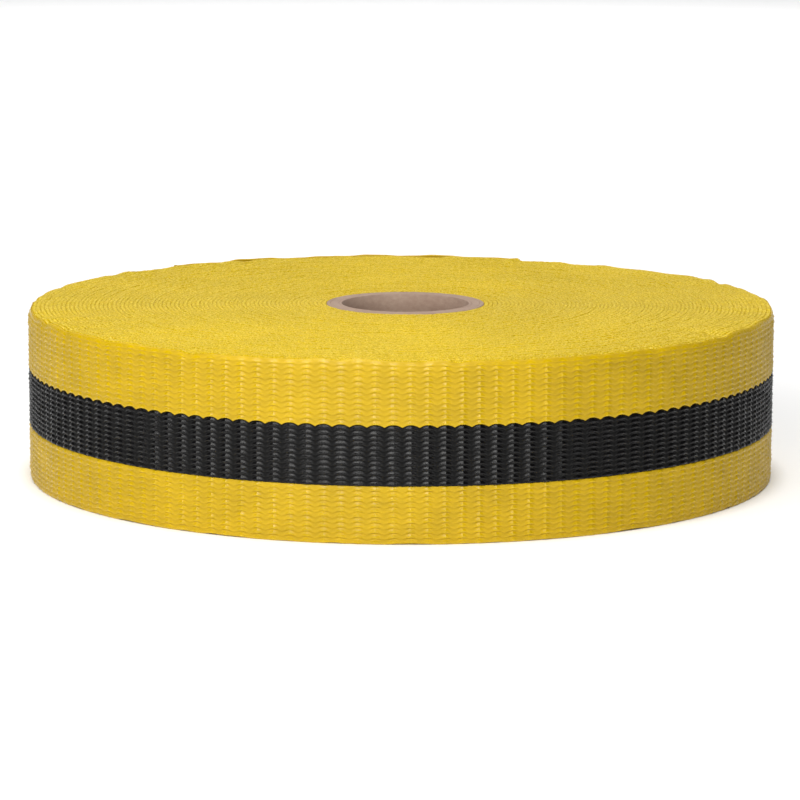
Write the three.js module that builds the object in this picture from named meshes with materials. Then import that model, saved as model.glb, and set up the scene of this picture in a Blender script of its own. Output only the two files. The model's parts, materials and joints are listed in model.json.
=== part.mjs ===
// Sling webbing on a roll: a woven strip with a dark centre stripe, wound on a paper tube core.
// Millimetres, +Z up. The roll lies on one edge of its strip, so z = 0 is the lower selvedge,
// and the origin is the middle of the roll's outline. The strip winds outwards anticlockwise.
import * as THREE from 'three';

// ---- Strip: the stripe's middle lies stripeDrop below the middle of the web ----
const webWidth = 50.8;
const webThickness = 1.23;
const stripeWidth = 16.6;
const stripeDrop = 1;
const rollRadius = 111.8;

// ---- Paper tube core ----
const coreBore = 38.1;
const linerWall = 0.8;
const bodyWall = 2.2;
const wrapWall = 0.9;
const coreOffset = 1.5;

// ---- Free end of the strip, and what holds it ----
const tailLinks = 4;
const linkLength = 30;
const tailMiddleAngle = 100;
const tapeWidth = 24;
const tapeThickness = 0.3;
const tapeOnTail = 26;
const tapeOnRoll = 24;
const tapeHeight = webWidth / 2;

// ---- Start of the strip, against the core ----
const startAngle = 95;
const rampLength = 11;
const startTapeLength = 5;
const startTapeWidth = 38;
const startTapeThickness = 0.3;

// ---- Clearances ----
const gap = 0.3;

// ---- Fineness of round outlines, in degrees per straight side ----
const windingStep = 4;
const coreStep = 5;
const stripStep = 2.5;

// ---- Sizes that follow from those above ----
const turn = 2 * Math.PI;
const radians = (degrees) => degrees * Math.PI / 180;
const stripeLow = webWidth / 2 - stripeDrop - stripeWidth / 2;
const stripeHigh = stripeLow + stripeWidth;
const boreRadius = coreBore / 2;
const linerRadius = boreRadius + linerWall;
const bodyRadius = linerRadius + gap + bodyWall;
const coreRadius = bodyRadius + gap + wrapWall;
const windingBore = coreRadius + gap;
const linkAngle = linkLength / rollRadius;
const tailAngle = tailLinks * linkAngle;
const tailStart = radians(tailMiddleAngle) - tailAngle / 2;
const frontAngle = -Math.PI / 2;
const bands = [
  ['lower_yellow', 0, stripeLow - gap / 2],
  ['black', stripeLow + gap / 2, stripeHigh - gap / 2],
  ['upper_yellow', stripeHigh + gap / 2, webWidth],
];

// ---- Materials ----
const colours = {
  lower_yellow: 0xd9ae20,
  black: 0x1e1e1f,
  upper_yellow: 0xd9ae20,
};

function material(color, roughness) {
  return new THREE.MeshStandardMaterial({ color, roughness, metalness: 0 });
}

const roll = new THREE.Group();

/** Puts a closed outline's solid between two heights, under a node's name. */
function addSlab(name, shape, low, high, look, x = 0) {
  const geometry = new THREE.ExtrudeGeometry(shape, { depth: high - low, bevelEnabled: false });
  const mesh = new THREE.Mesh(geometry, look);
  mesh.name = name;
  mesh.position.set(x, 0, low);
  roll.add(mesh);
}

/** Points of an arc whose radius follows its angle, ends included. */
function arcPoints(radiusAt, from, to, stepDegrees) {
  const sides = Math.max(1, Math.ceil(Math.abs(to - from) / radians(stepDegrees)));
  const points = [];
  for (let i = 0; i <= sides; i += 1) {
    const angle = from + (to - from) * i / sides;
    const radius = radiusAt(angle);
    points.push(new THREE.Vector2(radius * Math.cos(angle), radius * Math.sin(angle)));
  }
  return points;
}

/** Outline of a curved strip whose inner radius follows its angle. */
function stripOutline(innerAt, thickness, from, to) {
  const outside = arcPoints((angle) => innerAt(angle) + thickness, from, to, stripStep);
  const inside = arcPoints(innerAt, to, from, stripStep);
  return new THREE.Shape([...outside, ...inside]);
}

/** Outline of a round tube wall. */
function ringOutline(inner, outer) {
  const shape = new THREE.Shape(arcPoints(() => outer, 0, turn, coreStep).slice(1));
  shape.holes.push(new THREE.Path(arcPoints(() => inner, turn, 0, coreStep).slice(1)));
  return shape;
}

/** Outer radius of the strip at an unwound angle, which grows by one thickness each turn. */
function spiralRadius(angle) {
  return rollRadius + webThickness * (angle - frontAngle) / turn;
}

/** Inner radius of what lies on the wound strip, one gap above the turn below. */
function lyingRadius(angle) {
  return spiralRadius(angle - turn) + gap;
}

/** Inner radius of the first turn, which climbs over the strip's first end in a short ramp. */
function firstTurnRadius(angle) {
  const ramp = rampLength / windingBore;
  const toEnd = radians(startAngle) + turn - angle;
  return windingBore + webThickness * Math.max(0, 1 - toEnd / ramp);
}

/** Outline of the wound strip: a spiral step outside, and the start's ramp and step inside. */
function windingOutline() {
  const shape = new THREE.Shape(arcPoints(spiralRadius, tailStart - turn, tailStart, windingStep));
  const start = radians(startAngle);
  const rampFoot = start + turn - rampLength / windingBore;
  const ramp = arcPoints(firstTurnRadius, start + turn, rampFoot, stripStep);
  const bore = arcPoints(firstTurnRadius, rampFoot, start, windingStep).slice(1);
  const hole = [...ramp, ...bore].map((point) => new THREE.Vector2(point.x + coreOffset, point.y));
  shape.holes.push(new THREE.Path(hole));
  return shape;
}

/** The core's glued paper layers, as liner, body and outer wrap. */
function addCore() {
  const plies = [
    ['core_liner', boreRadius, linerRadius, 0xa98d77],
    ['core_body', linerRadius + gap, bodyRadius, 0xb39a86],
    ['core_wrap', bodyRadius + gap, coreRadius, 0xae937d],
  ];
  for (const [name, inner, outer, color] of plies) {
    addSlab(name, ringOutline(inner, outer), 0, webWidth, material(color, 0.9), coreOffset);
  }
}

/** The wound strip, one solid for each colour of its warp. */
function addWinding() {
  for (const [band, low, high] of bands) {
    addSlab(`winding_${band}`, windingOutline(), low, high, material(colours[band], 0.75));
  }
}

/** Tape that holds the strip's first end to the core, in the void behind that end. */
function addStartTape() {
  const to = radians(startAngle) - gap / windingBore;
  const from = to - startTapeLength / windingBore;
  const shape = stripOutline(() => windingBore, startTapeThickness, from, to);
  const low = (webWidth - startTapeWidth) / 2;
  addSlab('start_tape', shape, low, low + startTapeWidth, material(0xcdbf9a, 0.6), coreOffset);
}

/** The free end: links of the last stretch of strip, each in its three colours. */
function addTail() {
  for (let link = 0; link < tailLinks; link += 1) {
    const from = tailStart + link * linkAngle + gap / rollRadius;
    const shape = stripOutline(lyingRadius, webThickness, from, tailStart + (link + 1) * linkAngle);
    for (const [band, low, high] of bands) {
      addSlab(`tail_${link + 1}_${band}`, shape, low, high, material(colours[band], 0.75));
    }
  }
}

/** Tape over the free end: half of it on the tail, half on the turn below. */
function addTailTape() {
  const end = tailStart + tailAngle;
  const halves = [
    ['tape_on_tail', (angle) => lyingRadius(angle) + webThickness + gap, end - tapeOnTail / rollRadius, end],
    ['tape_flap', lyingRadius, end + gap / rollRadius, end + tapeOnRoll / rollRadius],
  ];
  for (const [name, innerAt, from, to] of halves) {
    const shape = stripOutline(innerAt, tapeThickness, from, to);
    addSlab(name, shape, tapeHeight - tapeWidth / 2, tapeHeight + tapeWidth / 2, material(0xd8cfae, 0.6));
  }
}

addCore();
addWinding();
addStartTape();
addTail();
addTailTape();

export default roll;
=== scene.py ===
"""Sling webbing on a roll: a woven strip with a dark centre stripe, wound on a paper tube core.

The strip is one flat web. Its inner turns are swept as the real spiral, its last full turn and its
free end carry the woven relief yarn by yarn, and a length of paper tape holds the free end down.
"""

import json
import logging
import math
from dataclasses import dataclass, field
from enum import Enum
from typing import Callable

import bpy
import numpy as np
from mathutils import Euler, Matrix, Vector


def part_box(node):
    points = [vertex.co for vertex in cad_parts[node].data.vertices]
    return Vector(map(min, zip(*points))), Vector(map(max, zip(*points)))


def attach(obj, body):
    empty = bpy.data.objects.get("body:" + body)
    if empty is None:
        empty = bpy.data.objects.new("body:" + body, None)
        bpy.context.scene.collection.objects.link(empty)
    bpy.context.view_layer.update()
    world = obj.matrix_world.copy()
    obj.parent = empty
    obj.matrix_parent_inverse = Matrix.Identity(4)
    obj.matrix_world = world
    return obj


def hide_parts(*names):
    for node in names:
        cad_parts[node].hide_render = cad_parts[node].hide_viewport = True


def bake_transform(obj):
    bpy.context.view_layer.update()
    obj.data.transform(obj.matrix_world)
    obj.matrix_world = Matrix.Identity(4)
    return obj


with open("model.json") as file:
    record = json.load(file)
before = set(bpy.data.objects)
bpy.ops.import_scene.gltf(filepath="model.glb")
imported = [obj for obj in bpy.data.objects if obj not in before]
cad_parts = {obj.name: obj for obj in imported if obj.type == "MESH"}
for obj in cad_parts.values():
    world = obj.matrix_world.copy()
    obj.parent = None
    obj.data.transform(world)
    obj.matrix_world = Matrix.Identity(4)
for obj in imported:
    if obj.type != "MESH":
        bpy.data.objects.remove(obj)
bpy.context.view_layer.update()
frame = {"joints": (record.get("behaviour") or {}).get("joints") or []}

LOG = logging.getLogger("webbing_roll")
MM = 0.001
TURN = 2 * math.pi
Array = np.ndarray
Socket = bpy.types.NodeSocket
Colour = tuple[float, float, float]
Point = tuple[float, float, float]
Rim = tuple[tuple[float, float, float, float], ...]
Piece = bpy.types.Object
Material = bpy.types.Material


class Band(Enum):
    """The three groups of warp yarn, from the lower selvedge up."""

    LOWER = "lower_yellow"
    STRIPE = "black"
    UPPER = "upper_yellow"


class Slot(Enum):
    """The record's material slots."""

    YELLOW = "web_yellow"
    BLACK = "web_black"
    CORE = "core_paper"
    TAPE = "tape_paper"


# ---- small tools


def smooth(x: Array | float) -> Array | float:
    """Smoothstep of x, which is first held between 0 and 1."""
    x = np.clip(x, 0.0, 1.0)
    return x * x * (3 - 2 * x)


def bell(x: Array, width: float) -> Array:
    """A bell curve of x, which is 1 at 0 and falls off over a width."""
    return np.exp(-((x / width) ** 2))


def joint(name: str) -> dict:
    """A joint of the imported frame."""
    return next(entry for entry in frame["joints"] if entry["name"] == name)


@dataclass(frozen=True)
class Waver:
    """A smooth random wave along a length, the same on every run.

    Attributes:
        seed: picks the wave.
        period: typical distance between two crests, in metres.
        height: size of one standard deviation.
        knots: how many random values there are before the wave repeats.
        gain: makes up for the spread that blending between those values takes away.
    """

    seed: int
    period: float
    height: float
    knots: int = 4096
    gain: float = 1.25

    def at(self, along: Array) -> Array:
        """The wave's value at each place.

        Args:
            along: places along the length, in metres.

        Returns:
            One offset for each place.
        """
        values = np.random.default_rng(self.seed).standard_normal(self.knots)
        place = np.asarray(along) / (0.5 * self.period) + self.knots
        low = np.floor(place).astype(int)
        part = smooth(place - low)
        first, second = values[low % self.knots], values[(low + 1) % self.knots]
        return self.height * self.gain * (first * (1 - part) + second * part)


def volume_under(points: Array, faces: Array) -> float:
    """Six times the volume between the origin and some faces.

    Args:
        points: the mesh's points.
        faces: each face's corners, as many for every face.

    Returns:
        The signed volume times six, positive where the faces point outward.
    """
    first = points[faces[:, 0]]
    pairs = ((points[faces[:, i]], points[faces[:, i + 1]]) for i in range(1, faces.shape[1] - 1))
    return sum(float((first * np.cross(b, c)).sum()) for b, c in pairs)


def closed_sweep(
    name: str, stations: Array, ring: bool = False, marks: dict[str, Array] | None = None
) -> Piece:
    """Makes one closed mesh from closed sections that follow each other.

    Args:
        name: name of the piece.
        stations: points in metres, as [station, point of the section, xyz].
        ring: True if the last station joins the first, False for a length with two end faces.
        marks: values for each point, as [station, point of the section], kept as attributes.

    Returns:
        The new object, smooth shaded.
    """
    count, around = stations.shape[:2]
    index = np.arange(count * around).reshape(count, around)
    ahead = np.roll(index, -1, axis=0) if ring else index[1:]
    here = index if ring else index[:-1]
    corners = [here, ahead, np.roll(ahead, -1, axis=1), np.roll(here, -1, axis=1)]
    quads = np.stack(corners, axis=-1).reshape(-1, 4)
    points = stations.reshape(-1, 3)
    ends = [] if ring else [index[0], index[-1][::-1]]
    if sum(volume_under(points, faces) for faces in (quads, *(end[None] for end in ends))) < 0:
        quads = quads[:, ::-1]
        ends = [end[::-1] for end in ends]
    loops = np.concatenate([quads.ravel(), *ends]).astype(np.int32)
    sizes = np.array([4] * len(quads) + [around] * len(ends), dtype=np.int32)
    mesh = bpy.data.meshes.new(name)
    mesh.vertices.add(len(points))
    mesh.vertices.foreach_set("co", points.astype(np.float32).ravel())
    mesh.loops.add(len(loops))
    mesh.loops.foreach_set("vertex_index", loops)
    mesh.polygons.add(len(sizes))
    starts = np.concatenate([[0], np.cumsum(sizes)[:-1]])
    mesh.polygons.foreach_set("loop_start", starts.astype(np.int32))
    mesh.update(calc_edges=True)
    mesh.validate()
    mesh.polygons.foreach_set("use_smooth", np.arange(len(sizes)) < len(quads))
    for mark, values in (marks or {}).items():
        attribute = mesh.attributes.new(mark, "FLOAT", "POINT")
        attribute.data.foreach_set("value", values.astype(np.float32).ravel())
    piece = bpy.data.objects.new(name, mesh)
    bpy.context.scene.collection.objects.link(piece)
    return piece


# ---- finishes


class Graph:
    """A material's nodes, with one short method for each kind that the finishes use."""

    def __init__(self, name: str) -> None:
        """Starts a material that holds one Principled shader.

        Args:
            name: name of the material.
        """
        self.material = bpy.data.materials.new(name)
        self.material.use_nodes = True
        self.tree = self.material.node_tree
        self.shader = self.tree.nodes["Principled BSDF"]

    def add(self, kind: str, inputs: dict[int | str, object], **settings: object) -> bpy.types.Node:
        """Adds a node.

        Args:
            kind: Blender's name for the node's type.
            inputs: values or sockets for its inputs.
            **settings: its other properties.

        Returns:
            The node.
        """
        node = self.tree.nodes.new(kind)
        for key, value in settings.items():
            setattr(node, key, value)
        for key, value in inputs.items():
            self.put(node.inputs[key], value)
        return node

    def mark(self, name: str) -> Socket:
        """The value of a point attribute of the mesh."""
        return self.add("ShaderNodeAttribute", {}, attribute_name=name).outputs["Fac"]

    def place(self) -> Socket:
        """The place in the piece's own frame, in metres."""
        return self.add("ShaderNodeTexCoord", {}).outputs["Object"]

    def math(self, operation: str, a: object, b: object = 0.0, c: object = 0.0) -> Socket:
        """The result of a sum on two or three values."""
        return self.add("ShaderNodeMath", {0: a, 1: b, 2: c}, operation=operation).outputs[0]

    def weighted(self, *parts: tuple[Socket, float]) -> Socket:
        """Adds some values up.

        Args:
            *parts: each value and its weight.

        Returns:
            The sum of the values, each multiplied by its weight.
        """
        total = 0.0
        for value, weight in parts:
            total = self.math("MULTIPLY_ADD", value, weight, total)
        return total

    def vector(self, x: object, y: object, z: object) -> Socket:
        """A vector made of three values."""
        return self.add("ShaderNodeCombineXYZ", {0: x, 1: y, 2: z}).outputs[0]

    def stretched(self, vector: Socket, scale: Point) -> Socket:
        """A vector multiplied by a scale on each axis."""
        return self.add("ShaderNodeMapping", {"Vector": vector, "Scale": scale}).outputs[0]

    def noise(self, vector: Socket, scale: Point, detail: float = 2.0, rough: float = 0.5) -> Socket:
        """Fractal noise from 0 to 1, on a vector multiplied by a scale."""
        inputs = {"Vector": self.stretched(vector, scale), "Scale": 1.0, "Detail": detail, "Roughness": rough}
        return self.add("ShaderNodeTexNoise", inputs).outputs["Fac"]

    def span(self, value: Socket, low: float, high: float, to_low: float, to_high: float) -> Socket:
        """A value carried from one range to another, and held inside it."""
        inputs = {"Value": value, "From Min": low, "From Max": high, "To Min": to_low, "To Max": to_high}
        return self.add("ShaderNodeMapRange", inputs).outputs["Result"]

    def spread(self, noise: Socket, to_low: float, to_high: float) -> Socket:
        """A noise's usual range carried to another."""
        return self.span(noise, 0.3, 0.7, to_low, to_high)

    def ramp(self, value: Socket, stops: list[tuple[float, Colour]]) -> Socket:
        """A colour looked up along a row of stops.

        Args:
            value: where to look.
            stops: the stops' places and colours, in order.

        Returns:
            The colour socket.
        """
        node = self.add("ShaderNodeValToRGB", {"Fac": value})
        elements = node.color_ramp.elements
        while len(elements) < len(stops):
            elements.new(0.5)
        for element, (position, colour) in zip(elements, stops):
            element.position = position
            element.color = (*colour, 1.0)
        return node.outputs["Color"]

    def mixed(self, share: object, first: object, second: object, blend: str = "MIX") -> Socket:
        """Two colours mixed by a share.

        Args:
            share: how much of the second colour shows, from 0 to 1.
            first: a colour or a colour socket.
            second: a colour or a colour socket.
            blend: how the second colour acts on the first.

        Returns:
            The colour socket.
        """
        node = self.add("ShaderNodeMix", {}, data_type="RGBA", blend_type=blend)
        colours = [socket for socket in node.inputs if socket.type == "RGBA"]
        for socket, value in ((node.inputs[0], share), (colours[0], first), (colours[1], second)):
            self.put(socket, value)
        return next(socket for socket in node.outputs if socket.type == "RGBA")

    def shaded(self, colour: Socket, factor: Socket) -> Socket:
        """A colour multiplied by a factor."""
        grey = self.add("ShaderNodeCombineColor", {0: factor, 1: factor, 2: factor}).outputs[0]
        return self.mixed(1.0, colour, grey, "MULTIPLY")

    def put(self, socket: Socket, value: object) -> None:
        """Links a socket to another one, or sets a plain value on it.

        Args:
            socket: the socket to fill.
            value: another socket, a number, a vector or a colour.
        """
        if isinstance(value, Socket):
            self.tree.links.new(value, socket)
        elif isinstance(value, tuple) and socket.type == "RGBA":
            socket.default_value = (*value, 1.0)
        else:
            socket.default_value = value

    def bump(self, height: Socket, distance: float, strength: float, after: Socket | None = None) -> Socket:
        """A normal bent by a height map.

        Args:
            height: the height map.
            distance: its full range, in metres.
            strength: how much of the bend shows.
            after: a normal that is already bent.

        Returns:
            The normal.
        """
        inputs = {"Height": height, "Distance": distance, "Strength": strength}
        if after is not None:
            inputs["Normal"] = after
        return self.add("ShaderNodeBump", inputs).outputs["Normal"]

    def shade(self, colour: Socket, rough: object, normal: Socket | None, gloss: float) -> Material:
        """Fills the shader's own sockets.

        Args:
            colour: the surface's colour.
            rough: its roughness.
            normal: its bent normal, or None for a plain one.
            gloss: how strongly it reflects, as the shader's specular level.

        Returns:
            The finished material.
        """
        sockets = {"Base Color": colour, "Roughness": rough, "Specular IOR Level": gloss}
        if normal is not None:
            sockets["Normal"] = normal
        for name, value in sockets.items():
            self.put(self.shader.inputs[name], value)
        return self.material


@dataclass(frozen=True)
class YarnFinish:
    """Woven filament yarn: painted shade in the crevices, a painted sheen on the crowns, and fine filaments
    along each yarn.

    Attributes:
        name: name of the material.
        painted_crevice_shade, body, painted_crown_sheen: colours of the crevices between yarns, painted
        darker as shade, of the flanks, and of the crowns, painted paler as a sheen.
        roughness: roughness of the flanks.
        crown_roughness: roughness of the crowns, which handling has polished.
        gloss: how strongly the yarn reflects.
        polish: relief at which the polish starts, and at which it is full.
        rim: paler colour of the selvedges, where the loops of the weft show, partly painted glints on the
            rolled edge.
        width: width of the web, in metres.
    """

    name: str
    painted_crevice_shade: Colour
    body: Colour
    painted_crown_sheen: Colour
    roughness: float
    crown_roughness: float
    gloss: float
    polish: tuple[float, float]
    rim: Colour
    width: float

    def build(self) -> Material:
        """Makes the material from the marks along, across, relief and turn.

        Returns:
            The material.
        """
        g = Graph(self.name)
        along, across, relief = g.mark("along"), g.mark("across"), g.mark("relief")
        cloth = g.vector(along, across, g.mark("turn"))
        filaments = g.noise(cloth, (0.45, 5.5, 1.0), 3.0, 0.6)
        patches = g.noise(cloth, (0.06, 0.12, 1.0), 2.0)
        yarns = g.noise(cloth, (0.16, 0.75, 1.0), 1.0)
        # Painted shade and painted sheen: the colour is darkest in the crevices between yarns and palest on
        # their crowns, following the relief mark.
        colour = g.ramp(relief, [(0.0, self.painted_crevice_shade), (0.45, self.body), (0.76, self.body), (1.0, self.painted_crown_sheen)])
        shade = g.span(g.weighted((patches, 1.0), (yarns, 0.7)), 0.55, 1.15, 0.88, 1.08)
        colour = g.shaded(colour, shade)
        colour = g.shaded(colour, g.spread(filaments, 0.90, 1.08))
        half = self.width / 2 / MM
        from_middle = g.math("ABSOLUTE", g.math("SUBTRACT", across, half))
        # Towards the selvedges the colour turns paler and speckled: the weft loops, and partly painted glints
        # on the rolled edge.
        grains = g.noise(cloth, (1.6, 1.6, 1.0), 3.0, 0.7)
        loops = g.mixed(g.span(grains, 0.4, 0.7, 0.0, 1.0), self.body, self.rim)
        colour = g.mixed(g.span(from_middle, half - 0.7, half - 0.1, 0.0, 0.9), colour, loops)
        rough = g.span(relief, *self.polish, self.roughness, self.crown_roughness)
        rough = g.math("ADD", rough, g.spread(filaments, 0.06, -0.06))
        return g.shade(colour, rough, g.bump(filaments, 0.06 * MM, 0.8), self.gloss)


@dataclass(frozen=True)
class EdgeFinish:
    """The selvedges of the wound turns: a close field of edge loops with painted glints of filament and
    painted shade between them.

    Attributes:
        name: name of the material.
        painted_shade_gold: darker colour, painted as shade on the loops' sides and in the valleys between
            turns.
        yellow: main colour.
        glint: paler colour, painted as glints on the loops' crowns.
        stripe: colour of the dark stripe, where the wound strip shows its side.
        stripe_low, stripe_high: heights of the stripe's borders, in metres.
    """

    name: str
    painted_shade_gold: Colour
    yellow: Colour
    glint: Colour
    stripe: Colour
    stripe_low: float
    stripe_high: float

    def build(self) -> Material:
        """Makes the material from the mark relief and the place in the roll.

        Returns:
            The material.
        """
        g = Graph(self.name)
        relief, place = g.mark("relief"), g.place()
        height = g.add("ShaderNodeSeparateXYZ", {0: place}).outputs["Z"]
        loops = g.noise(place, (2200.0, 900.0, 1500.0), 2.0, 0.7)
        coarse = g.noise(place, (800.0, 400.0, 800.0), 2.0)
        patches = g.noise(place, (30.0, 30.0, 30.0), 2.0)
        # Painted shade and painted glints: darker in the loops' hollows and between turns, paler on the
        # loops' crowns, after the same noise as the bump.
        blend = g.weighted((relief, 0.25), (loops, 0.85))
        colour = g.ramp(blend, [(0.36, self.painted_shade_gold), (0.50, self.yellow), (0.74, self.glint)])
        shade = g.span(g.math("ADD", patches, coarse), 0.7, 1.3, 0.90, 1.07)
        colour = g.shaded(colour, shade)
        above = g.math("GREATER_THAN", height, self.stripe_low)
        inside = g.math("MULTIPLY", above, g.math("LESS_THAN", height, self.stripe_high))
        colour = g.mixed(inside, colour, self.stripe)
        normal = g.bump(loops, 0.35 * MM, 1.0)
        normal = g.bump(coarse, 0.4 * MM, 0.6, normal)
        return g.shade(colour, g.spread(loops, 0.62, 0.38), normal, 0.04)


@dataclass(frozen=True)
class PaperFinish:
    """Paper of two colours that run into each other.

    Attributes:
        name: name of the material.
        dark, light: colours of the darker and the lighter fibres.
    """

    name: str
    dark: Colour
    light: Colour


class BoardFinish(PaperFinish):
    """Uncoated paperboard of the core: fibres, ply lines on the cut end, faint scuffs."""

    def build(self) -> Material:
        """Makes the material from the place in the core and the mark ply.

        Returns:
            The material.
        """
        g = Graph(self.name)
        place = g.place()
        fibres = g.noise(place, (600.0, 600.0, 900.0), 4.0, 0.65)
        clouds = g.noise(place, (90.0, 90.0, 60.0), 3.0)
        plies = g.noise(g.vector(g.mark("ply"), 0.0, 0.0), (9.0, 1.0, 1.0), 1.0)
        blend = g.weighted((fibres, 0.45), (clouds, 0.35), (plies, 0.25))
        colour = g.ramp(blend, [(0.35, self.dark), (0.7, self.light)])
        return g.shade(colour, g.spread(fibres, 0.82, 0.96), g.bump(fibres, 0.12 * MM, 0.7), 0.3)


class TapeFinish(PaperFinish):
    """Creped paper tape, pale and matt, with fine wrinkles across its length."""

    def build(self) -> Material:
        """Makes the material from the marks along and across.

        Returns:
            The material.
        """
        g = Graph(self.name)
        cloth = g.vector(g.mark("along"), g.mark("across"), 0.0)
        crepe = g.noise(cloth, (3.2, 0.35, 1.0), 3.0, 0.55)
        fibres = g.noise(cloth, (2.0, 2.0, 1.0), 3.0)
        blend = g.weighted((crepe, 0.6), (fibres, 0.4))
        colour = g.ramp(blend, [(0.3, self.dark), (0.65, self.light)])
        return g.shade(colour, g.spread(crepe, 0.75, 0.6), g.bump(crepe, 0.12 * MM, 0.8), 0.35)


@dataclass
class Finishes:
    """Every material of the roll, made once."""

    made: dict[str, Material] = field(default_factory=dict)

    def make(self, web: "Web") -> None:
        """Builds the materials that the pieces share.

        Args:
            web: the strip, whose width and stripe the materials follow.
        """
        # Yarn colours: the deepest one is painted shade for the crevices and the crown one a painted sheen;
        # in the selvedge field the gold is painted shade and the glint is painted glints.
        finishes = [
            YarnFinish(
                name="yellow_yarn", width=web.width, roughness=0.66, crown_roughness=0.27,
                painted_crevice_shade=(0.50, 0.315, 0.0), body=(0.60, 0.388, 0.0), painted_crown_sheen=(0.70, 0.49, 0.01),
                rim=(0.70, 0.52, 0.06), gloss=0.38, polish=(0.30, 0.55),
            ),
            YarnFinish(
                name="black_yarn", width=web.width, roughness=0.84, crown_roughness=0.26,
                painted_crevice_shade=(0.001, 0.001, 0.001), body=(0.002, 0.0018, 0.002), painted_crown_sheen=(0.014, 0.0135, 0.014),
                rim=(0.01, 0.01, 0.01), gloss=0.29, polish=(0.20, 0.48),
            ),
            EdgeFinish(
                name="selvedge_field", stripe_low=web.stripe_low, stripe_high=web.stripe_high,
                painted_shade_gold=(0.47, 0.305, 0.0), yellow=(0.63, 0.42, 0.0), glint=(0.90, 0.72, 0.07),
                stripe=(0.004, 0.0036, 0.004),
            ),
            BoardFinish("core_board", (0.31, 0.205, 0.155), (0.44, 0.325, 0.25)),
            TapeFinish("crepe_tape", (0.46, 0.37, 0.22), (0.72, 0.63, 0.44)),
        ]
        for finish in finishes:
            self.made[finish.name] = finish.build()

    def dress(self, piece: Piece, name: str) -> None:
        """Gives a piece its material."""
        piece.data.materials.append(self.made[name])

    def dress_yarn(self, piece: Piece, band: Band) -> None:
        """Gives a woven piece the yarn of its band."""
        dark = band is Band.STRIPE
        self.dress(piece, "black_yarn" if dark else "yellow_yarn")


# ---- the web


@dataclass(frozen=True)
class Weave:
    """How one colour band is woven.

    Attributes:
        rows: rows of yarn from one border to the other.
        yarn: height of a yarn's crown over the crevice beside it, in metres.
        between: share of that height which is left where the weft crosses.
        reach: distance from a column's middle at which the crowns end, in columns.
        levels: height of a warp float at each of the web's float_places, from 0 to 1.
    """

    rows: int
    yarn: float
    between: float
    reach: float
    levels: tuple[float, ...]


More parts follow.
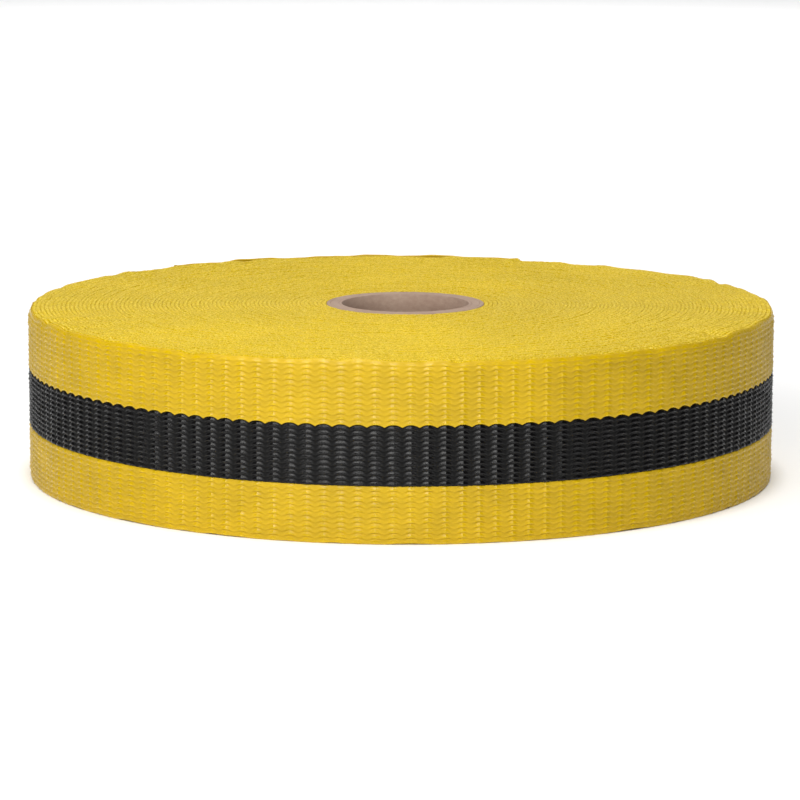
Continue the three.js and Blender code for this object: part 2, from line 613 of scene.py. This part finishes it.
@dataclass
class Web:
    """The woven strip: its sizes, its path in the roll and its woven relief.

    Lengths are in metres. An angle is measured anticlockwise from +X and goes on growing with
    each turn, so the strip's outer face at an angle has one radius. A pick column is one row of
    warp floats from selvedge to selvedge.

    Attributes:
        width, stripe_low, stripe_high: heights of the upper selvedge and the stripe's borders.
        front_radius: radius of the roll at the front.
        core_x, core_radius: place of the core on the X axis, and its outer radius.
        tail_start: angle at which the free end leaves the turn below.
        thickness, lift: pitch of the turns, and the gap under the free end.
        columns, first_column: pick columns in one turn, and the angle of one of them.
        crest: how far a warp float stands over the weft.
        rise: height of the chevrons that the floats make across the web.
        chevron_power: their sharpness in the yellow, and how much the stripe adds to it.
        dome_edge: width over which a yarn's crown runs out, in columns.
        uneven, lean: how much the yarns differ in size, and how far they lean aside.
        repeat: columns and rows after which those differences come again.
        weaves: how each band is woven.
        float_places: places along a float, from its column's middle, in columns.
        row_parts, crevice: places of the points in a row of yarn, and its part below the crown.
        stations: places of the sections in a column.
        roll_back, roll_down: how far the upper selvedge rolls in and sinks.
        roll_zone: height of the rolled zone, and how far past the selvedge it runs on.
        foot_roll: how far the lower selvedge rolls in, and the height of its zone.
    """

    width: float
    stripe_low: float
    stripe_high: float
    front_radius: float
    core_x: float
    core_radius: float
    tail_start: float
    thickness: float = 1.23 * MM
    lift: float = 0.3 * MM
    columns: int = 147
    first_column: float = math.radians(-90.95)
    crest: float = 0.47 * MM
    rise: float = 0.60 * MM
    chevron_power: tuple[float, float] = (1.35, 0.85)
    dome_edge: float = 0.30
    uneven: float = 0.12
    lean: float = 0.05 * MM
    repeat: tuple[int, int] = (256, 64)
    weaves: dict[Band, Weave] = field(
        default_factory=lambda: {
            Band.LOWER: Weave(11, 0.46 * MM, 0.10, 0.40, (1.0, 0.74, 0.50, 0.38, 0.34)),
            Band.STRIPE: Weave(12, 0.50 * MM, 0.40, 0.47, (1.0, 0.73, 0.45, 0.17, 0.0)),
            Band.UPPER: Weave(12, 0.46 * MM, 0.07, 0.40, (1.0, 0.74, 0.50, 0.38, 0.34)),
        }
    )
    float_places: tuple[float, ...] = (0.0, 0.12, 0.24, 0.37, 0.5)
    row_parts: tuple[float, ...] = (0.0, 0.05, 0.15, 0.42, 0.72)
    crevice: float = 0.15
    stations: tuple[float, ...] = (-0.5, -0.37, -0.24, -0.12, -0.03, 0.0, 0.03, 0.12, 0.24, 0.37)
    roll_back: float = 1.0 * MM
    roll_down: float = 0.45 * MM
    roll_zone: tuple[float, float] = (4.4 * MM, 1.0 * MM)
    foot_roll: tuple[float, float] = (0.25 * MM, 1.0 * MM)

    @classmethod
    def from_frame(cls) -> "Web":
        """Reads the strip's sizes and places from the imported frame.

        Returns:
            The strip.
        """
        low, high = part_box("winding_black")
        core_low, core_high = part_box("core_wrap")
        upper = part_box("winding_upper_yellow")
        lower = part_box("winding_lower_yellow")
        peel = joint("tail_peel")["pos_m"]
        return cls(
            width=upper[1][2],
            stripe_low=(low[2] + lower[1][2]) / 2,
            stripe_high=(high[2] + upper[0][2]) / 2,
            front_radius=-low[1],
            core_x=(core_low[0] + core_high[0]) / 2,
            core_radius=(core_high[0] - core_low[0]) / 2,
            tail_start=math.atan2(peel[1], peel[0]),
        )

    def radius(self, angle: Array | float) -> Array | float:
        """Radius of the strip's outer face at an unwound angle."""
        return self.front_radius + self.thickness * (angle + math.pi / 2) / TURN

    def span(self, band: Band) -> tuple[float, float]:
        """Heights of a colour band's two borders."""
        borders = (0.0, self.stripe_low, self.stripe_high, self.width)
        return borders[list(Band).index(band)], borders[list(Band).index(band) + 1]

    def along(self, angle: Array) -> Array:
        """Length along the strip at an unwound angle, measured at the outside radius."""
        return angle * self.front_radius

    def edge_sway(self, angle: Array, height: Array) -> Array:
        """How far the selvedges sway up and down, which dies out inside the web.

        Args:
            angle: unwound angles.
            height: heights in the web.

        Returns:
            Offsets up the web.
        """
        along = self.along(angle)
        top = Waver(11, 11 * MM, 0.20 * MM).at(along) + Waver(12, 34 * MM, 0.12 * MM).at(along)
        foot = np.abs(Waver(13, 9 * MM, 0.14 * MM).at(along))
        reach = 5 * MM
        return top * smooth((height - self.width + reach) / reach) + foot * smooth((reach - height) / reach)

    def selvedge(self, height: float, angle: Array) -> Array:
        """Height of the selvedge that lies at a height, at each angle, as [station, 1]."""
        return height + self.edge_sway(angle[:, None], np.array([[height]]))

    def marks(self, angle: Array, height: Array, relief: Array, turn: int) -> dict[str, Array]:
        """The marks from which the yarn's material is made.

        Args:
            angle: unwound angle of each station.
            height: heights, as [station, point].
            relief: relief marks, as [station, point].
            turn: which turn the web is, so that no two turns look alike.

        Returns:
            The marks, with lengths in millimetres.
        """
        along = self.along(angle)[:, None] / MM + 0 * height
        return {"relief": relief, "along": along, "across": height / MM, "turn": turn + 0 * height}

    def picks(self, start: float, end: float) -> tuple[Array, Array]:
        """Stations along the web, closest together at the shoulders of the warp floats.

        Args:
            start: first unwound angle.
            end: last unwound angle.

        Returns:
            The stations' angles, and their places counted in pick columns.
        """
        edges = self.columns * (np.array([start, end]) - self.first_column) / TURN
        whole = np.arange(math.floor(edges[0]) - 1, math.ceil(edges[1]) + 2)
        place = (whole[:, None] + np.array(self.stations)[None, :]).ravel()
        place = place[(place > edges[0] + 0.03) & (place < edges[1] - 0.03)]
        angle = self.first_column + place * TURN / self.columns
        sway = Waver(21, 14 * MM, 0.012).at(self.along(angle)) * TURN / self.columns
        still = smooth((angle - start) / 0.1) * smooth((end - angle) / 0.1)
        angle = np.concatenate([[start], angle + sway * still, [end]])
        return angle, np.concatenate([edges[:1], place, edges[1:]])

    def chevron(self, beside: Array, height: Array) -> Array:
        """How far a column's rows stand up in its middle and hang at its ends.

        Args:
            beside: distance from the column's middle, in columns.
            height: height in the web.

        Returns:
            Offsets up the web, flatter at the stripe's lower border and steeper at its upper one.
        """
        off_stripe = np.maximum(self.stripe_low - height, height - self.stripe_high)
        power, more = self.chevron_power
        shape = 0.5 - (2 * beside) ** (power + more * smooth(1 - off_stripe / (1.5 * MM)))
        lower, upper = bell(height - self.stripe_low, 0.8 * MM), bell(height - self.stripe_high, 1.2 * MM)
        return self.rise * shape * (1 - 0.75 * lower + 0.2 * upper)

    def face(self, band: Band, angle: Array, place: Array, back: bool = False) -> tuple[Array, Array, Array]:
        """The woven relief of one face of a band.

        Args:
            band: the colour band.
            angle: unwound angle of each station.
            place: place of each station, counted in pick columns.
            back: True for the strip's back face, whose crests lie between the front's.

        Returns:
            Heights, depths under the crests, and relief marks from 0 to 1, as [station, point].
        """
        low, high = self.span(band)
        weave = self.weaves[band]
        place = place + (0.5 if back else 0.0)
        column = np.round(place).astype(int)
        beside = np.abs(place - column)[:, None]
        float_shape = np.interp(beside, self.float_places, weave.levels)
        dome = smooth((weave.reach - beside) / self.dome_edge)
        level = np.append((np.arange(weave.rows)[:, None] + np.array(self.row_parts)).ravel(), weave.rows)
        part = np.append(np.tile(self.row_parts, weave.rows), 0.0)
        row = np.floor(level + 1e-9).astype(int)
        draw = np.random.default_rng(31 + weave.rows + 7 * list(Band).index(band) + 100 * back)
        columns, rows = self.repeat
        spot = np.ix_(column % columns, row % rows)
        swelling, leaning = (draw.normal(0.0, 1.0, self.repeat)[spot] for _ in range(2))
        floats = np.random.default_rng(5).normal(0.0, 1.0, columns)[column % columns]
        strength = 1 + self.uneven * floats[:, None]
        height = (low + (high - low) * level / weave.rows)[None, :] + 0 * dome
        edge = smooth((self.width - height - 0.6 * MM) / (2.4 * MM))
        edge = edge * (0.5 + 0.5 * smooth(height / (1.5 * MM)))
        up_crown = np.sqrt(np.clip(1 - (1 - part / self.crevice) ** 2, 0, 1))
        down_crown = 1 - np.clip((part - self.crevice) / (1 - self.crevice), 0, 1) ** 1.15
        arch = np.where(part < self.crevice, up_crown, down_crown)[None, :]
        shift = self.chevron(beside, height) * edge * smooth(height / (2 * MM))
        shift = shift + self.lean * leaning * dome * arch
        sunk = weave.yarn * (1 - arch * (1 + self.uneven * swelling)) * (0.10 + 0.90 * edge)
        depth = self.crest * (1 - strength * float_shape) * edge
        depth = depth + sunk * (weave.between + (1 - weave.between) * dome)
        zone, past = self.roll_zone
        shoulder = 1 - smooth((self.width - height + past) / zone)
        foot, foot_zone = self.foot_roll
        depth = depth + self.roll_back * shoulder + foot * (1 - smooth(height / foot_zone))
        # The relief mark paints shade into the crevices and a sheen onto the crowns in the yarn's colour, and
        # sets its polish.
        relief = np.clip(0.62 * arch * (0.45 + 0.55 * dome) + 0.38 * float_shape, 0, 1)
        height = height + shift - self.roll_down * shoulder + self.edge_sway(angle[:, None], height)
        return height, depth, relief

    def place(self, angle: Array, radius: Array, height: Array, centre: Array | float = 0.0) -> Array:
        """Points from angles, radii and heights, around a centre on the X axis."""
        across = centre + radius * np.cos(angle)
        return np.stack(np.broadcast_arrays(across, radius * np.sin(angle), height), axis=-1)


# ---- pieces of the roll


@dataclass
class PaperCore:
    """The paper tube: liner, body and outer wrap, with cut ends and helical laps in the bore.

    Attributes:
        web: the strip wound on the core.
        liner_wall: thickness of the innermost layers.
        gap: gap between two packed layers, which the board fills from both sides.
        swell: how far the outer wrap stands out of its packed size.
        chamfer: how far the cut ends' corners are worn.
        lap, lead: height of the liner's helical lap, and how far it climbs in one turn.
        ply, ridge: thickness of a ply, and the height of its ridge on the cut end.
        fuzz: roughness of the cut end.
        stations: sections round the tube.
    """

    web: Web
    liner_wall: float = 0.8 * MM
    gap: float = 0.3 * MM
    swell: float = 0.1 * MM
    chamfer: float = 0.14 * MM
    lap: float = 0.10 * MM
    lead: float = 52 * MM
    ply: float = 0.55 * MM
    ridge: float = 0.03 * MM
    fuzz: float = 0.022 * MM
    stations: int = 240

    def layers(self) -> dict[str, tuple[float, float]]:
        """Sizes of the layers, which meet each other.

        Returns:
            Inner and outer radius of each layer, by the name of its node.
        """
        names = ("core_liner", "core_body", "core_wrap")
        liner, body, wrap = ((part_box(name)[1][0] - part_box(name)[0][0]) / 2 for name in names)
        radii = (liner - self.liner_wall, liner + self.gap / 2, body + self.gap / 2, wrap + self.swell)
        return {name: (radii[i], radii[i + 1]) for i, name in enumerate(names)}

    def section(self, inner: float, outer: float) -> tuple[Array, Array]:
        """One layer's section, round the outside, the upper end, the bore side and the foot.

        Args:
            inner: inner radius.
            outer: outer radius.

        Returns:
            Radii and heights of its points.
        """
        width, cut = self.web.width, self.chamfer
        steps = max(3, round((outer - inner) / (0.22 * MM)))
        across = np.linspace(outer - cut, inner + cut, steps)
        walls = np.linspace(width - cut, cut, 12)
        radii = np.concatenate([np.full(12, outer), across, np.full(12, inner), across[::-1]])
        heights = np.concatenate([walls[::-1], np.full(steps, width), walls, np.zeros(steps)])
        return radii, heights

    def build(self, finishes: Finishes) -> list[Piece]:
        """Makes and dresses the three layers.

        Args:
            finishes: the materials.

        Returns:
            The pieces.
        """
        pieces = []
        for number, (name, (inner, outer)) in enumerate(self.layers().items()):
            radii, heights = self.section(inner, outer)
            angle = np.linspace(0, TURN, self.stations, endpoint=False)[:, None]
            fuzz = np.random.default_rng(41 + number).normal(0.0, self.fuzz, (self.stations, len(radii)))
            upper_end = heights > self.web.width - 0.5 * MM
            plies = self.ridge * np.sin(radii * TURN / self.ply)
            helix = (angle / TURN + heights / self.lead) % 1.0
            step = self.lap * smooth(helix / 0.03) * (1 - smooth((helix - 0.03) / 0.9))
            lapped = np.isclose(radii, inner) & (name == "core_liner")
            radius = radii[None, :] - np.where(lapped, step, 0.0) + 0 * angle
            height = heights[None, :] + np.where(upper_end, fuzz + plies, 0.0)
            points = self.web.place(angle, radius, height, self.web.core_x)
            piece = closed_sweep(f"{name}_board", points, ring=True, marks={"ply": radius / MM})
            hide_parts(name)
            finishes.dress(piece, "core_board")
            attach(piece, "roll")
            pieces.append(piece)
        return pieces


@dataclass
class WoundTurns:
    """The strip's inner turns, swept as one spiral and parted into lengths end to end.

    Attributes:
        web: the strip.
        start_angle: where the strip's first end lies on the core.
        turns: full turns from that end to the root of the last turn.
        lengths: how many pieces the spiral is parted into.
        step: distance between two sections.
        body: the wound strip's own thickness, a little more than the turns' pitch, so that none gapes.
        ramp: share of a turn in which the first turns climb over the strip's first end.
        settle: turns over which that climb evens out.
        pick: distance between two loops of the weft along a selvedge.
        loop, bulge: height of those loops, and how far they swell sideways.
        sunk: depth of the upper selvedges under the web's width.
        shoulder: how much deeper the outermost one lies, and the turns over which that fades.
        sway_turns: turns over which the last turn's sway fades.
    """

    web: Web
    start_angle: float = math.radians(95)
    turns: int = 71
    lengths: int = 4
    step: float = 0.9 * MM
    body: float = 1.24 * MM
    ramp: float = 0.073
    settle: float = 6.0
    pick: float = 2.4 * MM
    loop: float = 0.05 * MM
    bulge: float = 0.04 * MM
    sunk: float = 0.06 * MM
    shoulder: tuple[float, float] = (0.42 * MM, 1.3)
    sway_turns: float = 14.0

    def path(self, angle: Array) -> tuple[Array, Array]:
        """The outer face's radius and the turns' centre.

        Args:
            angle: unwound angles.

        Returns:
            Radii, and places of the centre on the X axis.
        """
        first = self.start_angle - self.turns * TURN
        last = self.web.tail_start - TURN
        wound = (angle - first) / TURN
        part = wound - np.floor(wound)
        even = 1 - np.exp(-np.floor(wound) / self.settle)
        climb = smooth((part - 1 + self.ramp) / self.ramp)
        radius = self.web.radius(angle) - self.web.thickness * (1 - even) * (part - climb)
        return radius, self.web.core_x * (last - angle) / (last - first)

    def build(self, finishes: Finishes) -> list[Piece]:
        """Makes and dresses the lengths of the spiral.

        Args:
            finishes: the materials.

        Returns:
            The pieces.
        """
        first = self.start_angle - self.turns * TURN
        last = self.web.tail_start - TURN
        fine = np.linspace(first, last, 60000)
        along = np.concatenate([[0.0], np.cumsum(np.diff(fine) * self.path(fine)[0][1:])])
        pieces = []
        for number in range(self.lengths):
            span = np.array([number, number + 1]) * along[-1] / self.lengths
            count = int((span[1] - span[0]) / self.step)
            length = np.linspace(span[0], span[1], count)
            angle = np.interp(length, along, fine)
            piece = self.length_of_strip(f"wound_turns_{number + 1}", angle, length)
            finishes.dress(piece, "selvedge_field")
            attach(piece, "roll")
            pieces.append(piece)
        return pieces

    def length_of_strip(self, name: str, angle: Array, length: Array) -> Piece:
        """Sweeps one length of the spiral, with looped selvedges.

        Args:
            name: name of the piece.
            angle: unwound angle of each section.
            length: distance of each section from the strip's first end.

        Returns:
            The piece.
        """
        radius, centre = self.path(angle)
        width = self.web.width
        across = np.array([1.0, 0.80, 0.50, 0.18, 0.0])
        back = np.concatenate([across, across[::-1]])
        level = np.tile([0.04, 0.01, 0.0, 0.01, 0.04], 2) * MM
        # Relief marks, lower at each turn's edges, paint shade into the valleys between turns in the selvedge
        # field's colour.
        relief = np.tile([0.2, 0.5, 0.6, 0.5, 0.2], 2)
        upper = np.arange(len(back)) >= len(across)
        wave = TURN * length / self.pick + Waver(51, 9 * MM, 1.2).at(length)
        loops = self.loop * np.cos(wave)
        end = self.web.tail_start
        inwards = (end - angle) / TURN
        shared = self.web.edge_sway(end - (end - angle) % TURN, np.full_like(angle, width))
        shared = shared * np.exp(-inwards / self.sway_turns)
        rough = Waver(52, 5 * MM, 0.03 * MM).at(length) + Waver(53, 60 * MM, 0.03 * MM).at(length)
        deeper, turns = self.shoulder
        top = width - self.sunk - deeper * np.exp(-inwards / turns) + loops + shared + rough
        foot = self.loop + np.abs(loops) + np.abs(Waver(54, 8 * MM, 0.14 * MM).at(length))
        height = np.where(upper, top[:, None] - level, foot[:, None] + level)
        radii = radius[:, None] - self.body * back + self.bulge * np.sin(wave)[:, None]
        points = self.web.place(angle[:, None], radii, height, centre[:, None])
        return closed_sweep(name, points, marks={"relief": relief + 0 * height})


@dataclass
class LastTurn:
    """The outermost full turn of the strip, woven in relief, in its three colours.

    Attributes:
        web: the strip.
        body: depth of the flat back under the outer face.
        upper_rim: points round the upper selvedge, from the woven face to the back. Each has its
            height over the selvedge and its depth, in millimetres, its share of the selvedge's
            sway, and its relief.
        lower_rim: the same round the lower selvedge, from the back to the woven face.
    """

    web: Web
    body: float = 1.05 * MM
    upper_rim: Rim = ((-0.36, 0.98, 1.0, 0.9), (-0.46, 1.10, 1.0, 0.5), (-1.0, 1.18, 0.9, 0.0))
    lower_rim: Rim = ((0.65, 1.05, 0.9, 0.0), (0.10, 0.88, 1.0, 0.5), (-0.02, 0.62, 1.0, 0.9))

    def rim(self, upper: bool, angle: Array) -> tuple[Array, Array, Array]:
        """The rounded selvedge between the woven face and the back.

        Args:
            upper: True for the upper selvedge, False for the lower one.
            angle: unwound angle of each station.

        Returns:
            Heights, depths and relief marks, as [station, point].
        """
        edge = self.web.width if upper else 0.0
        points = np.array(self.upper_rim if upper else self.lower_rim)
        height, depth, share, relief = points.T[:, None, :]
        sway = self.web.selvedge(edge, angle) - edge
        return edge + height * MM + sway * share, depth * MM + 0 * sway, relief + 0 * sway

    def section(self, band: Band, angle: Array, place: Array) -> tuple[Array, Array, Array]:
        """Sections of one band: its woven face, its selvedge if it has one, and its back.

        Args:
            band: the colour band.
            angle: unwound angle of each station.
            place: place of each station, counted in pick columns.

        Returns:
            Heights, depths under the outer face and relief marks, as [station, point].
        """
        ones = np.ones((len(angle), 1))
        low, high = ((border * ones, self.body * ones, 0 * ones) for border in self.web.span(band))
        upper_side = self.rim(True, angle) if band is Band.UPPER else high
        lower_side = self.rim(False, angle) if band is Band.LOWER else low
        parts = (self.web.face(band, angle, place), upper_side, lower_side)
        height, depth, relief = (np.concatenate(values, axis=1) for values in zip(*parts))
        return height, depth, relief

    def build(self, finishes: Finishes) -> list[Piece]:
        """Makes and dresses the three bands of the last turn.

        Args:
            finishes: the materials.

        Returns:
            The pieces.
        """
        end = self.web.tail_start
        angle, place = self.web.picks(end - TURN, end)
        drift = Waver(61, 60 * MM, 0.05 * MM).at(self.web.along(angle)) * smooth((end - angle) / 0.2)
        pieces = []
        for band in Band:
            height, depth, relief = self.section(band, angle, place)
            radius = (self.web.radius(angle) + drift)[:, None] - depth
            points = self.web.place(angle[:, None], radius, height)
            marks = self.web.marks(angle, height, relief, 0)
            piece = closed_sweep(f"last_turn_{band.value}", points, marks=marks)
            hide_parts(f"winding_{band.value}")
            finishes.dress_yarn(piece, band)
            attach(piece, "roll")
            pieces.append(piece)
        return pieces


@dataclass
class FreeEnd:
    """The strip's free end, which peels off the roll at its chain of bends.

    Attributes:
        web: the strip.
        bends: the joints of the free end, from its root to its tip.
        leaving: length over which it leaves the turn below.
        melt: length of the heat-sealed cut at the tip.
        sunk: how far the seal is sunk on each face.
        back_share: the back face's relief as a share of the front's.
    """

    web: Web
    bends: tuple[str, ...] = ("tail_peel", "tail_bend_2", "tail_bend_3", "tail_bend_4")
    leaving: float = 14 * MM
    melt: float = 1.1 * MM
    sunk: float = 0.38 * MM
    back_share: float = 0.7

    def angle_of(self, name: str) -> float:
        """Angle of a joint's axis round the roll."""
        place = joint(name)["pos_m"]
        return math.atan2(place[1], place[0])

    def outer(self, angle: Array) -> Array:
        """Radius of the free end's outer face, which stands off the turn below it."""
        beyond = (angle - self.web.tail_start) * self.web.front_radius
        return self.web.radius(angle) + self.web.lift * smooth(beyond / self.leaving)

    def stretch(self, band: Band, start: float, end: float, tip: bool) -> tuple[Array, dict[str, Array]]:
        """One stretch of a band, woven on both faces.

        Args:
            band: the colour band.
            start: its first angle.
            end: its last angle.
            tip: True for the stretch that ends in the sealed cut.

        Returns:
            Its sections and their marks.
        """
        angle, place = self.web.picks(start, end)
        height, depth, relief = self.web.face(band, angle, place)
        back_height, back_depth, back_relief = self.web.face(band, angle, place, back=True)
        to_end = (end - angle)[:, None] * self.web.front_radius
        sealed = smooth(1 - to_end / self.melt) if tip else 0 * to_end
        outer = self.outer(angle)[:, None]
        front = outer - depth * (1 - sealed) - self.sunk * sealed
        back = outer - self.web.thickness + self.back_share * back_depth * (1 - sealed) + self.sunk * sealed
        middle = (front + back) / 2
        parts = [(front, height, relief), (back[:, ::-1], back_height[:, ::-1], back_relief[:, ::-1])]
        if band is Band.UPPER:
            top = self.web.selvedge(self.web.width, angle)
            parts.insert(1, (middle[:, -1:], top, 0.8 + 0 * top))
        if band is Band.LOWER:
            foot = self.web.selvedge(0.0, angle)
            parts.append((middle[:, :1], foot, 0.8 + 0 * foot))
        radius, heights, reliefs = (np.concatenate(values, axis=1) for values in zip(*parts))
        marks = self.web.marks(angle, heights, reliefs * (1 - 0.6 * sealed), 1)
        return self.web.place(angle[:, None], radius, heights), marks

    def build(self, finishes: Finishes) -> list[Piece]:
        """Makes and dresses the free end, one stretch across each bend and one at the tip.

        Args:
            finishes: the materials.

        Returns:
            The pieces.
        """
        bodies = ["roll"] + [joint(bend)["child"] for bend in self.bends]
        hinges = [self.angle_of(bend) for bend in self.bends] + [self.angle_of("tape_peel")]
        middles = [(a + b) / 2 for a, b in zip(hinges, hinges[1:])]
        cuts = [self.web.tail_start, *middles, hinges[-1]]
        pieces = []
        for number, (start, end) in enumerate(zip(cuts, cuts[1:])):
            tip = number == len(middles)
            for band in Band:
                points, marks = self.stretch(band, start, end, tip)
                piece = closed_sweep(f"free_end_{number + 1}_{band.value}", points, marks=marks)
                finishes.dress_yarn(piece, band)
                if tip:
                    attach(piece, bodies[-1])
                else:
                    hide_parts(f"tail_{number + 1}_{band.value}")
                    middle = self.web.width / 2
                    root, far = (Vector(self.web.place(a, self.web.radius(a), middle)) for a in (start, end))
                    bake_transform(piece)
                pieces.append(piece)
        return pieces


@dataclass
class PaperTape:
    """A length of creped tape, torn at both ends, laid on a path round the roll.

    Attributes:
        web: the strip.
        paper, glue: thickness of the tape and of the glue under it.
        teeth, bite: distance between two teeth of the torn ends, and their depth.
        drop: length over which the tape steps down from the free end's tip.
    """

    web: Web
    paper: float = 0.18 * MM
    teeth: float = 1.7 * MM
    bite: float = 0.7 * MM
    glue: float = 0.02 * MM
    drop: float = 2.4 * MM

    def strip(
        self,
        name: str,
        ends: tuple[float, float],
        edges: tuple[float, float],
        radius: Callable[[Array], Array],
        centre: float = 0.0,
    ) -> Piece:
        """Makes a length of tape.

        Args:
            name: name of the piece.
            ends: its first and last angle.
            edges: heights of its lower and its upper edge.
            radius: gives the radius under the tape at each angle.
            centre: centre of the path on the X axis.

        Returns:
            The piece.
        """
        (start, end), (low, high) = ends, edges
        scale = float(radius(np.array([start]))[0])
        count = max(12, round((end - start) * scale / (0.5 * MM)))
        height = np.linspace(low, high, max(9, round((high - low) / (0.42 * MM))))
        share = np.linspace(0, 1, count)[:, None]
        tooth = self.bite * np.abs(((height / self.teeth) % 1.0) * 2 - 1)[None, :] / scale
        angle = start + (end - start) * share + tooth * (smooth(1 - share * 8) - smooth(share * 8 - 7))
        wrinkle = Waver(71, 1.5 * MM, 0.015 * MM).at(angle * scale + 0.3 * height)
        under = radius(angle) + self.glue + wrinkle + np.abs(wrinkle)
        radii, angles = self.both_faces(under + self.paper, under), self.both_faces(angle, angle)
        heights = self.both_faces(height + 0 * angle, height + 0 * angle)
        marks = {"along": angles * scale / MM, "across": heights / MM}
        return closed_sweep(name, self.web.place(angles, radii, heights, centre), marks=marks)

    def both_faces(self, over: Array, under: Array) -> Array:
        """Values round the tape's section, up its outer face and down its inner one."""
        return np.concatenate([over, under[:, ::-1]], axis=1)

    def build(self, finishes: Finishes, free_end: FreeEnd) -> list[Piece]:
        """Makes and dresses the tape on the free end and the tape at the strip's start.

        Args:
            finishes: the materials.
            free_end: the strip's free end, which the tape holds down.

        Returns:
            The pieces.
        """
        low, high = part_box("tape_on_tail")
        flap_low, flap_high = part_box("tape_flap")
        tip = free_end.angle_of("tape_peel")
        start = math.atan2(high[1], high[0])
        end = math.atan2(flap_low[1], flap_low[0])
        drop = self.drop / self.web.front_radius
        step = self.web.thickness + self.web.lift

        def path(angle: Array) -> Array:
            """Radius under the tape: on the tail, down past its tip, then on the turn below."""
            return free_end.outer(angle) - step * smooth((angle - tip) / drop)

        tape = self.strip("tape_over_free_end", (start, end), (low[2], high[2]), path)
        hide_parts("tape_on_tail", "tape_flap")
        finishes.dress(tape, "crepe_tape")
        middle = (low[2] + high[2]) / 2
        crease = (tip - 0.5 * drop, tip + 1.5 * drop)
        root, far = (Vector(self.web.place(a, self.web.radius(a), middle)) for a in crease)
        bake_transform(tape)
        return [tape, self.at_the_start(finishes)]

    def at_the_start(self, finishes: Finishes) -> Piece:
        """Makes and dresses the tape that holds the strip's first end to the core.

        Args:
            finishes: the materials.

        Returns:
            The piece.
        """
        low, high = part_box("start_tape")
        ends = [math.atan2(y, x - self.web.core_x) for x, y in ((high[0], low[1]), (low[0], high[1]))]

        def path(angle: Array) -> Array:
            """Radius under the tape, clear of the core's board."""
            return self.web.core_radius + 0.12 * MM + 0 * angle

        span = (min(ends), max(ends))
        piece = self.strip("tape_at_start", span, (low[2], high[2]), path, self.web.core_x)
        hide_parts("start_tape")
        finishes.dress(piece, "crepe_tape")
        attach(piece, "roll")
        return piece


# ---- studio


@dataclass
class Studio:
    """Camera, soft lights and a plain pale floor.

    Attributes:
        eye: place of the camera.
        tilt, roll: how far it looks down and how far it leans, in radians.
        focal, sensor: its focal length and its sensor's width, in millimetres.
        sky, sun: strength of the white surroundings and of the wide light overhead.
        floor_size: distance from the floor's middle to its edges.
    """

    eye: Point = (0.0, -1.067, 0.2026)
    tilt: float = 0.1685
    roll: float = 0.0032
    focal: float = 161.2
    sensor: float = 36.0
    sky: float = 0.06
    sun: float = 1.8
    floor_size: float = 30.0

    def camera(self) -> None:
        """Makes the camera, looking down at the roll from the front."""
        data = bpy.data.cameras.new("camera")
        data.sensor_width, data.lens = self.sensor, self.focal
        data.clip_end = 50
        camera = bpy.data.objects.new("camera", data)
        camera.location = self.eye
        look = Euler((math.pi / 2 - self.tilt, 0.0, 0.0)).to_matrix()
        camera.rotation_euler = (look @ Euler((0.0, 0.0, self.roll)).to_matrix()).to_euler()
        bpy.context.scene.collection.objects.link(camera)
        bpy.context.scene.camera = camera

    def lamp(
        self,
        name: str,
        power: float,
        size: tuple[float, float],
        place: Point,
        colour: Colour,
        target: Point = (0.0, 0.0, 0.02),
    ) -> None:
        """Makes a rectangular soft light.

        Args:
            name: name of the light.
            power: its power in watts.
            size: its width and height.
            place: where it stands.
            colour: its colour.
            target: the point it faces.
        """
        data = bpy.data.lights.new(name, "AREA")
        data.shape = "RECTANGLE"
        data.energy, data.color = power, colour
        data.size, data.size_y = size
        lamp = bpy.data.objects.new(name, data)
        lamp.visible_camera = False
        lamp.location = place
        lamp.rotation_euler = (Vector(target) - Vector(place)).to_track_quat("-Z", "Y").to_euler()
        bpy.context.scene.collection.objects.link(lamp)

    def floor(self) -> None:
        """Lays a wide pale floor, just under the roll."""
        mesh = bpy.data.meshes.new("floor")
        far = self.floor_size
        mesh.from_pydata([(-far, -far, 0), (far, -far, 0), (far, far, 0), (-far, far, 0)], [], [(0, 1, 2, 3)])
        floor = bpy.data.objects.new("floor", mesh)
        bpy.context.scene.collection.objects.link(floor)
        g = Graph("pale_floor")
        clouds = g.noise(g.place(), (0.7, 0.7, 0.7), 2.0)
        colour = g.ramp(clouds, [(0.3, (0.95, 0.95, 0.95)), (0.7, (0.97, 0.97, 0.97))])
        floor.data.materials.append(g.shade(colour, 0.9, None, 0.5))

    def build(self) -> None:
        """Makes the whole studio."""
        scene = bpy.context.scene
        scene.view_settings.view_transform = "Standard"
        world = bpy.data.worlds.new("studio")
        scene.world = world
        world.use_nodes = True
        surroundings = world.node_tree.nodes["Background"].inputs
        surroundings["Color"].default_value = (1.0, 1.0, 1.0, 1.0)
        surroundings["Strength"].default_value = self.sky
        self.camera()
        self.floor()
        self.ceiling()
        self.lamp("key", 4.5, (0.80, 0.18), (-0.18, -0.58, 0.41), (1.0, 0.99, 0.97))
        self.lamp("back", 15.5, (1.2, 1.2), (0.0, 1.4, 0.8), (1.0, 1.0, 1.0), (0.0, 1.4, 0.0))

    def ceiling(self) -> None:
        """Makes the wide soft light overhead."""
        data = bpy.data.lights.new("ceiling", "SUN")
        data.energy, data.angle = self.sun, math.radians(15)
        bpy.context.scene.collection.objects.link(bpy.data.objects.new("ceiling", data))


def main() -> None:
    """Builds the roll and reports each piece."""
    logging.basicConfig(level=logging.INFO, format="%(name)s: %(message)s")
    Studio().build()
    web = Web.from_frame()
    finishes = Finishes()
    finishes.make(web)
    free_end = FreeEnd(web)
    groups = {
        "paper core": PaperCore(web).build(finishes),
        "wound turns": WoundTurns(web).build(finishes),
        "last turn": LastTurn(web).build(finishes),
        "free end": free_end.build(finishes),
        "tape": PaperTape(web).build(finishes, free_end),
    }
    for group, pieces in groups.items():
        for piece in pieces:
            LOG.info("%s: %s, %d faces", group, piece.name, len(piece.data.polygons))


if __name__ == "__main__":
    main()
